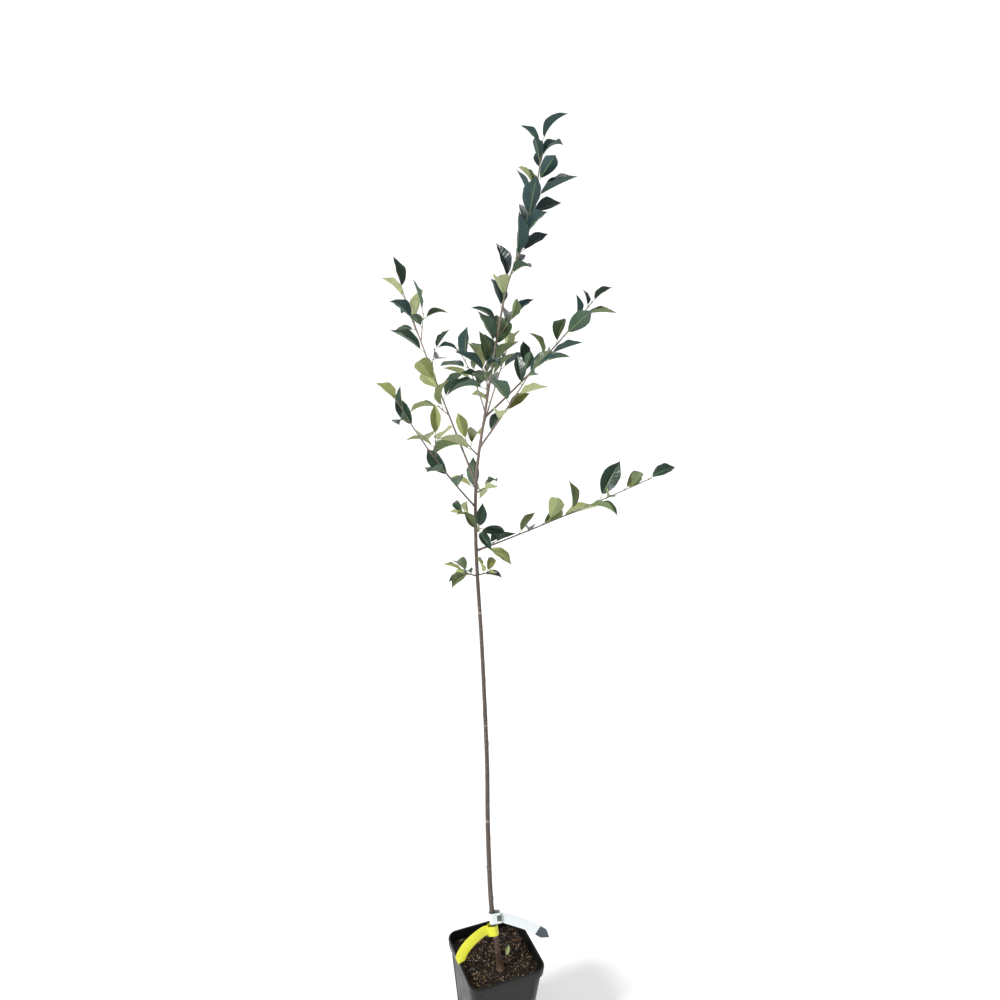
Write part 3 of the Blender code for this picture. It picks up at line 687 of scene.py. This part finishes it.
RIB_FACES = tube_faces(15, 6)


def bud_mesh(root, axis, out, size):
    """A pointed bud in the angle between a leaf and its shoot."""
    way = unit(axis + out * 0.5)
    centres = [root + way * size * share for share in (0.0, 0.35, 0.7, 1.0)]
    return tube_points(centres, [size * r for r in (0.26, 0.36, 0.24, 0.03)], 6)


BUD_FACES = tube_faces(4, 6)

# %% [markdown]
# Tones are dealt out leaf by leaf: deep teal at the top of the tree, greener in the middle and
# lightest low down, as the real tree's are. The palest tone is painted highlight: the yellow-green
# of leaves with the sun on them and shining through them, dealt in every band below the top.

# %%
TONE_BANDS = [
    (1.42, ["deep_teal"] * 7 + ["dark_green", "soft_green"]),
    (1.28, ["deep_teal", "deep_teal", "dark_green", "dark_green", "fresh_green", "painted_highlight_green"]),
    (1.12, ["dark_green", "dark_green", "fresh_green", "soft_green", "olive", "painted_highlight_green"]),
    (0.00, ["dark_green", "fresh_green", "soft_green", "olive", "painted_highlight_green"]),
]
TONE_NAMES = list(LEAF_TONES)


def tone_of(leaf, rng):
    for floor, tones in TONE_BANDS:
        if leaf.root[2] > floor:
            return TONE_NAMES.index(rng.choice(tones))
    return 0


def make_leaves(name, node, leaves, twigs, axis_of):
    """One mass: a piece of blades, and a piece of petioles, ribs, buds and side twigs."""
    rng = random.Random(name)
    blades, stalks = Heap(), Heap()
    for leaf in leaves:
        tone = tone_of(leaf, rng)
        slots = [2 * tone + slot for slot in BLADE_SLOTS]
        blades.put(blade_mesh(leaf, rng), BLADE_FACES, slots, BLADE_MAP)
        stalks.put(rib_mesh(leaf), RIB_FACES, 0)
        bud = bud_mesh(leaf.root, axis_of(leaf.root), leaf.out, rng.uniform(3.2, 4.6) * MM)
        stalks.put(bud, BUD_FACES, 1)
    for twig in twigs:
        centres = [twig.at(twig.length * k / 12) for k in range(13)]
        stalks.put(tube_points(centres, np.linspace(1.0, 0.6, 13) * MM, 8), tube_faces(13, 8), 1)
    piece = blades.piece(name + "_blades", LEAF_FINISHES, 180)
    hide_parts(node)
    piece = stalks.piece(name + "_stalks", [STALK, BARK], 60)
    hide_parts(node)


# %% [markdown]
# ## Wood
#
# The stem is one tube of close rings with real relief: ridged rootstock, a swollen graft, faint
# ripples and a raised scar at each old node.

# %%
STEM_SIDES = 20
STEM_ROUGH_TOP = 340
STEM_ROUGH_STEP = 1.6
STEM_SMOOTH_STEP = 3.0
SHOOT_SIDES = 10
ROOTSTOCK_ROUGHNESS = 0.24
BARK_ROUGHNESS = 0.045
OLD_NODES = range(330, 940, 61)
OLD_NODE_SHIFT = 8
OLD_NODE_SPREAD = 3.2
OLD_NODE_SWELL = 0.22


def relief(point, height, angle):
    """How far the bark stands out at a point of the stem, as a share of its radius."""
    rough = ROOTSTOCK_ROUGHNESS if height < GRAFT_HEIGHT else BARK_ROUGHNESS
    ridges = noise.noise(Vector((point[0] * 260, point[1] * 260, height * 0.05)))
    ripples = noise.noise(Vector((angle, 0.0, height * 0.35)))
    scar = 0.0
    for k, node in enumerate(OLD_NODES):
        side = math.cos(angle - k * math.radians(SPIRAL))
        away = (height - node - OLD_NODE_SHIFT * math.sin(k * 3.1)) / OLD_NODE_SPREAD
        scar += OLD_NODE_SWELL * math.exp(-away ** 2) * max(0.0, side) ** 2
    return rough * ridges + 0.5 * rough * ripples + scar


def make_stem():
    """The stem from the mix to its tip, with rings close together on the rough rootstock."""
    heights = np.concatenate([np.arange(STEM_ROUTE[0][2] + 0.3, STEM_ROUGH_TOP, STEM_ROUGH_STEP),
                              np.arange(STEM_ROUGH_TOP, LEADER_TOP, STEM_SMOOTH_STEP)])
    centres = np.array([STEM.at(stem_distance(height)) for height in heights])
    centres[0, 2] = heights[0] * MM
    radii = np.empty((len(heights), STEM_SIDES))
    for i, height in enumerate(heights):
        for j in range(STEM_SIDES):
            angle = 2 * math.pi * j / STEM_SIDES
            skin = centres[i] + (math.cos(angle) * 5 * MM, math.sin(angle) * 5 * MM, 0)
            radii[i, j] = stem_radius(height) * (1 + relief(skin, height, angle))
    heap = Heap()
    heap.put(tube_points(centres, radii, STEM_SIDES), tube_faces(len(heights), STEM_SIDES))
    piece = heap.piece("stem_wood", [BARK], 70)
    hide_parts("trunk", "leader_foliage", "leader_tip_foliage")


def make_shoot(name, limb, nodes):
    """A shoot from just inside the stem to its tip, with a collar and slight swellings at its nodes."""
    count = max(8, round(limb.line.length / (2.5 * MM)))
    distances = np.linspace(0.0, limb.line.length, count)
    collar = 1 + 0.5 * np.exp(-distances / (4 * MM))
    knots = 1 + 0.10 * np.maximum(0.0, np.sin(distances / (14 * MM) * math.pi)) ** 8
    radii = np.array([limb.radius_at(d) for d in distances]) * collar * knots
    heap = Heap()
    centres = [limb.line.at(d) for d in distances]
    heap.put(tube_points(centres, radii, SHOOT_SIDES), tube_faces(count, SHOOT_SIDES))
    piece = heap.piece(name + "_wood", [BARK], 70)
    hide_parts(*nodes)


def make_tree():
    limbs = plan_limbs()
    crown = Crown(limbs)
    fork, joint, top = (stem_distance(h) for h in (FORK_HEIGHT, LEADER_JOINT_HEIGHT, LEADER_TOP))

    def stem_axis(root):
        return STEM.way(stem_distance(float(root[2]) / MM))

    make_stem()
    leaves, twigs = crown.grow(LEADER_TIP, "stem", joint, top)
    make_leaves("leader_tip", "leader_tip_foliage", leaves, twigs, stem_axis)
    leaves, twigs = crown.grow(LEADER, "stem", fork, joint, has_tip=False)
    make_leaves("leader", "leader_foliage", leaves, twigs, stem_axis)
    for name, shoot in {**BOUGHS, **SPURS}.items():
        limb = limbs[name]
        axis = limb.line.way(limb.line.length * 0.7)
        leaves, twigs = crown.grow(shoot, name, limb.start, limb.end)
        foliage = name + "_foliage" if name in BOUGHS else name
        nodes = (name + "_bough", foliage) if name in BOUGHS else (foliage,)
        make_shoot(name, limb, nodes)
        make_leaves(name, foliage, leaves, twigs, lambda root, axis=axis: axis)


make_tree()

# %% [markdown]
# ## The potting mix
#
# Peat and bark with perlite, uneven, with coarse crumbs, chips and fibres lying on it.

# %%
MIX_TOP = 186
MIX_FLOOR = 172
MIX_CORNER = 18
MIX_SLOPE = 0.035
MIX_LUMP = 2.2
MIX_GRID = 66
LEVEL_REACH = 20
GRAIN_CORNER = 16
GRAIN_MARGIN = 1.5
GRAIN_STEM_MARGIN = 9
FALLEN_LEAF_PLACE = (16.0, -14.0)
FALLEN_LEAF_HEIGHT = 6.0
FALLEN_LEAF_LENGTH = 18


def mix_height(x, y):
    """The mix's surface: a slope and soft lumps, easing to a level patch under the stem."""
    foot_x, foot_y, _ = STEM_ROUTE[0]
    away = math.hypot(x - foot_x, y - foot_y)
    ease = min(1.0, max(0.0, (away - LEVEL_REACH) / LEVEL_REACH))
    lump = math.sin(x * 0.17 + 1.3) * math.cos(y * 0.13) + 0.6 * math.sin(x * 0.31 - y * 0.27)
    return MIX_TOP + ease * (MIX_LUMP * lump - MIX_SLOPE * (y + x * 0.4 - foot_y))


def past_corner(x, y, half, corner):
    """How far a point lies past the centre of its rounded corner: across, along and in all."""
    dx, dy = max(0.0, abs(x) - half + corner), max(0.0, abs(y) - half + corner)
    return dx, dy, math.hypot(dx, dy)


def in_pot(x, y, half, corner):
    """True inside the rounded square that the pot leaves for the mix."""
    return past_corner(x, y, half, corner)[2] <= corner


def mix_ground(half, corner):
    """A grid over the square, pulled in to round its corners, with crumbs of its own."""
    count = MIX_GRID
    steps = np.linspace(-1, 1, count)
    points = []
    for v in steps:
        for u in steps:
            x, y = u * half, v * half
            dx, dy, reach = past_corner(x, y, half, corner)
            if reach > corner:
                x = math.copysign(half - corner + dx * corner / reach, x)
                y = math.copysign(half - corner + dy * corner / reach, y)
            crumbs = 1.5 * noise.noise(Vector((x * 0.22, y * 0.22, 0.0)))
            crumbs += 0.8 * noise.noise(Vector((x * 0.6, y * 0.6, 5.0)))
            points.append((x * MM, y * MM, (mix_height(x, y) + crumbs) * MM))
    faces = []
    for i in range(count - 1):
        for j in range(count - 1):
            a = i * count + j
            faces.append([a, a + 1, a + count + 1, a + count])
    rim = list(range(count))
    rim += [i * count + count - 1 for i in range(1, count)]
    rim += [count * (count - 1) + j for j in range(count - 2, -1, -1)]
    rim += [i * count for i in range(count - 2, 0, -1)]
    lower = [(points[i][0], points[i][1], MIX_FLOOR * MM) for i in rim]
    start = len(points)
    for k in range(len(rim)):
        n = (k + 1) % len(rim)
        faces.append([rim[n], rim[k], start + k, start + n])
    faces.append(list(range(start, start + len(rim)))[::-1])
    return points + lower, faces


def crumb(rng, size, flat=1.0, long=1.0):
    """An irregular grain: a squashed, jittered six-sided lump."""
    centres = [(0, 0, z * size * flat) for z in (-0.5, -0.25, 0.25, 0.5)]
    shares = (0.28, 0.5, 0.48, 0.22)
    radii = np.array([[size * share * rng.uniform(0.7, 1.15) for _ in range(6)] for share in shares])
    points = tube_points(centres, radii, 6)
    turn = Euler((rng.uniform(-0.5, 0.5), rng.uniform(-0.5, 0.5), rng.uniform(0, 6.28))).to_matrix()
    return (points * (long, 1.0, 1.0)) @ np.array(turn).T


def scatter(name, count, sizes, material, seed, flat=0.6, long=1.0):
    """Strews grains over the mix, clear of the stem and the pot's wall."""
    rng = random.Random(seed)
    low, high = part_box("potting_mix")
    half = (high[0] - low[0]) / 2 / MM - GRAIN_MARGIN
    heap = Heap()
    faces = tube_faces(4, 6)
    while count:
        x, y = rng.uniform(-half, half), rng.uniform(-half, half)
        size = rng.uniform(*sizes)
        if not in_pot(x, y, half - size * max(1.0, long) / 2, GRAIN_CORNER):
            continue
        if math.hypot(x - STEM_ROUTE[0][0], y - STEM_ROUTE[0][1]) < GRAIN_STEM_MARGIN + size:
            continue
        place = np.array((x, y, mix_height(x, y) + size * flat * 0.2)) * MM
        heap.put(crumb(rng, size * MM, flat, long) + place, faces)
        count -= 1
    piece = heap.piece(name, [material], 50)
    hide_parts("potting_mix")


def make_mix():
    low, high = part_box("potting_mix")
    half = (high[0] - low[0]) / 2 / MM
    points, faces = mix_ground(half, MIX_CORNER)
    piece = add_piece("mix_ground", points, faces, [MIX], smooth=60)
    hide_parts("potting_mix")
    scatter("mix_crumbs", 1300, (0.9, 3.6), MIX, 11)
    scatter("bark_chips", 90, (1.6, 4.2), BARK_CHIP, 12, 0.3, 1.7)
    scatter("pale_chips", 110, (1.0, 3.2), PALE_CHIP, 13, 0.25, 2.0)
    scatter("perlite_grains", 420, (0.6, 1.5), PERLITE, 14, 0.8)
    scatter("peat_fibres", 60, (1.0, 1.6), FIBRE, 15, 0.5, 8.0)


def make_fallen_leaf():
    """A small leaf that has dropped on the mix, behind the stem."""
    height = mix_height(*FALLEN_LEAF_PLACE) + FALLEN_LEAF_HEIGHT
    place = np.array((*FALLEN_LEAF_PLACE, height)) * MM
    out, up = unit((0.35, 0.3, 0.75)), unit((-0.5, -0.8, 0.35))
    leaf = Leaf(place, out, up, FALLEN_LEAF_LENGTH * MM, arch=0.5, fold=0.5)
    # The fallen leaf takes the painted highlight tone.
    first_slot = 2 * TONE_NAMES.index("painted_highlight_green")
    heap = Heap()
    rng = random.Random(5)
    heap.put(blade_mesh(leaf, rng), BLADE_FACES, [first_slot + slot for slot in BLADE_SLOTS], BLADE_MAP)
    piece = heap.piece("fallen_leaf", LEAF_FINISHES, 180)
    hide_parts("potting_mix")


make_mix()
make_fallen_leaf()

# %% [markdown]
# ## Tie-on labels
#
# Each label is a plastic strap that loops the stem and droops from it. The yellow one is plain. The
# white one has a lock coloured dark grey-green as painted shade, and ends in a slate patch.

# %%
LABEL_THICKNESS = 0.6
LABEL_PLAY = 0.95
LOOP_END = 0.75
TONGUE_STEPS = 60
TONGUE_COLUMNS = 7
TONGUE_CUP = 0.9
PATCH_START = 0.74
LOCK_SIZE = (8, 10, 12)
LOCK_BEVEL = 1.2
Label = namedtuple("Label", "height width heading reach tongue lean")
YELLOW_TONGUE = [(-30, -13, 264), (-44, -13, 257), (-59, -12, 244), (-71, -11, 227), (-78.5, -11, 205)]
WHITE_TONGUE = [(24, -33, 288), (44, -44, 282), (62, -54, 273), (80, -64, 261)]
YELLOW_LABEL = Label(267, 19, -22, 11, YELLOW_TONGUE, (-0.8, 0.33, 0.5))
WHITE_LABEL = Label(291, 21, 158, 15, WHITE_TONGUE, (0.45, -0.18, 0.87))


def label_frame(label):
    """The stem's point and line at a label, and two directions across it, the first its heading."""
    distance = stem_distance(label.height)
    centre, axis = STEM.at(distance), STEM.way(distance)
    heading = math.radians(label.heading)
    u = np.array((math.cos(heading), math.sin(heading), 0.0))
    u = unit(u - axis * float(u @ axis))
    return centre, axis, u, np.cross(axis, u)


def loop_mesh(label):
    """The strap round the stem: a half circle drawn in to its lock, with a square section."""
    centre, axis, u, v = label_frame(label)
    edges = (label.height - label.width / 2, label.height, label.height + label.width / 2)
    inner = max(stem_radius(height) for height in edges) / MM + LABEL_PLAY
    outer = inner + LABEL_THICKNESS
    rings = []
    for radius, edge in ((inner, -0.5), (outer, -0.5), (outer, 0.5), (inner, 0.5)):
        outline = [(radius * math.cos(a), radius * math.sin(a)) for a in np.radians(np.linspace(-90, 90, 33))]
        far = -label.reach - (radius - inner)
        wide, narrow = radius * (1 + LOOP_END) / 2, radius * LOOP_END
        outline += [(far * 0.5, wide), (far, narrow), (far, -narrow), (far * 0.5, -wide)]
        rings.append([centre + (u * x + v * y + axis * label.width * edge) * MM for x, y in outline])
    count = len(rings[0])
    faces = []
    for a in range(4):
        b = (a + 1) % 4
        for i in range(count):
            j = (i + 1) % count
            faces.append([a * count + i, a * count + j, b * count + j, b * count + i])
    return np.concatenate(rings), faces


def tongue_mesh(label):
    """The free end: a strip of seven points across, slightly cupped, with a pointed tip."""
    centre, axis, u, v = label_frame(label)
    root = centre / MM - u * label.reach
    route = Line(smooth_route([root + u * 0.4, *label.tongue], 2))
    count, across = TONGUE_STEPS, np.linspace(-1, 1, TONGUE_COLUMNS)
    cup = TONGUE_CUP * across ** 2
    skin = LABEL_THICKNESS / 2
    points, faces, slots = [], [], []
    for i in range(count + 1):
        s = i / count
        way = unit(route.at(route.length * s + 1) - route.at(route.length * s - 1))
        wide = unit(axis * (1 - s) + np.array(label.lean) * s)
        wide = unit(wide - way * float(wide @ way))
        face = np.cross(way, wide)
        half = label.width / 2 * min(1.0, 0.04 + (1 - s) / 0.13)
        middle = route.at(route.length * s)
        ring = [middle + wide * half * a + face * (c + skin) for a, c in zip(across, cup)]
        ring += [middle + wide * half * a + face * (c - skin) for a, c in zip(across[::-1], cup[::-1])]
        points.extend(p * MM for p in ring)
    sides = 2 * len(across)
    for i in range(count):
        for j in range(sides):
            k = (j + 1) % sides
            faces.append([i * sides + j, i * sides + k, (i + 1) * sides + k, (i + 1) * sides + j])
            slots.append(1 if i / count > PATCH_START else 0)
    faces += [list(range(sides))[::-1], [count * sides + j for j in range(sides)]]
    return points, faces, slots + [0, 0]


def make_label(name, node, label, material, patch):
    heap = Heap()
    heap.put(*loop_mesh(label))
    points, faces, slots = tongue_mesh(label)
    heap.put(points, faces, slots)
    piece = heap.piece(name, [material, patch], 40)
    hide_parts(node)


def make_lock():
    """The white label's lock: a short rounded block where the strap comes back to its loop, coloured dark
    grey-green as painted shade.
    """
    centre, axis, u, v = label_frame(WHITE_LABEL)
    middle = centre - u * (WHITE_LABEL.reach - 3) * MM + v * 1.0 * MM
    bpy.ops.object.select_all(action="DESELECT")
    bpy.ops.mesh.primitive_cube_add(size=1.0, location=(0, 0, 0))
    lock = bpy.context.object
    lock.name = "label_lock"
    bpy.ops.object.mode_set(mode="EDIT")
    bpy.ops.mesh.select_all(action="SELECT")
    bpy.ops.transform.resize(value=[side * MM for side in LOCK_SIZE], center_override=(0, 0, 0))
    bpy.ops.mesh.bevel(offset=LOCK_BEVEL * MM, segments=3, affect="EDGES")
    bpy.ops.object.mode_set(mode="OBJECT")
    turn = np.array([-u, v, axis])
    for vertex in lock.data.vertices:
        vertex.co = Vector(middle + np.array(vertex.co) @ turn)
    lock.data.materials.append(LOCK_PAINTED_SHADE)
    bpy.ops.object.shade_smooth_by_angle(angle=math.radians(40))
    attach(lock, "root")
    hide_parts("white_label")


make_lock()
make_label("yellow_tag", "yellow_label", YELLOW_LABEL, YELLOW, YELLOW)
make_label("white_tag", "white_label", WHITE_LABEL, WHITE, SLATE)

# %% [markdown]
# ## The pot
#
# The pot has its walls, rim and panels already, and takes the moulded finish.

# %%
pot = bpy.data.objects["pot"]
pot.data.materials.clear()
pot.data.materials.append(POT)

# %% [markdown]
# ## Floor, light and camera
#
# A plain white floor curves up into a backdrop. The key light comes from the left, like a hazy
# sun, and a weak fill comes from the front. The camera stands at chest height.

# %%
CAMERA_PLACE = (-0.4934, -1.1659, 1.410)
CAMERA_HEADING = 67.57
CAMERA_TILT = 14.32
CAMERA_ROLL = 1.32
CAMERA_LENS = 28.8
CAMERA_SENSOR = 36
BACKDROP_PROFILE = [(-3.0, 0.0), (2.2, 0.0), (2.7, 0.08), (3.05, 0.3), (3.2, 0.7), (3.2, 5.0)]
BACKDROP_HALF_WIDTH = 5.0
BACKDROP_GLOW = 0.3
WORLD_STRENGTH = 0.46


def make_backdrop():
    """The sweep behind the tree: its profile runs away from the camera and then up."""
    points = []
    heading = math.radians(CAMERA_HEADING)
    ahead = np.array((math.cos(heading), math.sin(heading), 0.0))
    across = np.array((math.sin(heading), -math.cos(heading), 0.0))
    for reach, height in BACKDROP_PROFILE:
        middle = ahead * reach + UP * height
        points += [middle + across * side * BACKDROP_HALF_WIDTH for side in (-1, 1)]
    faces = [[2 * i, 2 * i + 1, 2 * i + 3, 2 * i + 2] for i in range(len(BACKDROP_PROFILE) - 1)]
    bpy.ops.object.select_all(action="DESELECT")
    bpy.ops.mesh.primitive_plane_add(size=1.0, location=(0, 0, 0))
    floor = bpy.context.object
    floor.name = "backdrop"
    mesh = bpy.data.meshes.new("backdrop")
    mesh.from_pydata([tuple(p) for p in points], [], faces)
    floor.data = mesh
    finish, _, shader, _ = new_finish("plain_pale_paper", "#e4e4e4", 0.95, 0.1)
    shader.inputs["Emission Color"].default_value = colour("#ffffff")
    shader.inputs["Emission Strength"].default_value = BACKDROP_GLOW
    mesh.materials.append(finish)
    bpy.ops.object.shade_smooth()


def add_lamp(kind, name, azimuth, elevation, distance, target, power):
    """A lamp that faces its target from a bearing and a height above the horizon."""
    a, e = math.radians(azimuth), math.radians(elevation)
    back = Vector((math.sin(a) * math.cos(e), -math.cos(a) * math.cos(e), math.sin(e)))
    bpy.ops.object.light_add(type=kind, location=Vector(target) + back * distance)
    lamp = bpy.context.object
    lamp.name = name
    lamp.data.energy = power
    lamp.rotation_euler = back.to_track_quat("Z", "Y").to_euler()
    return lamp.data


make_backdrop()
key = add_lamp("SUN", "key_light", -82, 40, 3.0, (0, 0, 0), 3.0)
key.angle = math.radians(14)
fill = add_lamp("AREA", "front_fill", -30, 15, 2.8, (0, 0, 1.0), 7)
fill.shape = "DISK"
fill.size = 1.6

world = bpy.context.scene.world or bpy.data.worlds.new("studio")
bpy.context.scene.world = world
world.use_nodes = True
sky = world.node_tree.nodes["Background"]
sky.inputs["Color"].default_value = colour("#ffffff")
sky.inputs["Strength"].default_value = WORLD_STRENGTH

bpy.ops.object.camera_add(location=CAMERA_PLACE)
camera = bpy.context.object
aim_turn = Euler((math.radians(90 - CAMERA_TILT), 0, math.radians(CAMERA_HEADING - 90))).to_matrix()
roll_turn = Matrix.Rotation(math.radians(CAMERA_ROLL), 3, "Z")
camera.rotation_euler = (aim_turn @ roll_turn).to_euler()
camera.data.lens = CAMERA_LENS
camera.data.sensor_width = CAMERA_SENSOR
bpy.context.scene.camera = camera
bpy.context.scene.view_settings.view_transform = "Standard"
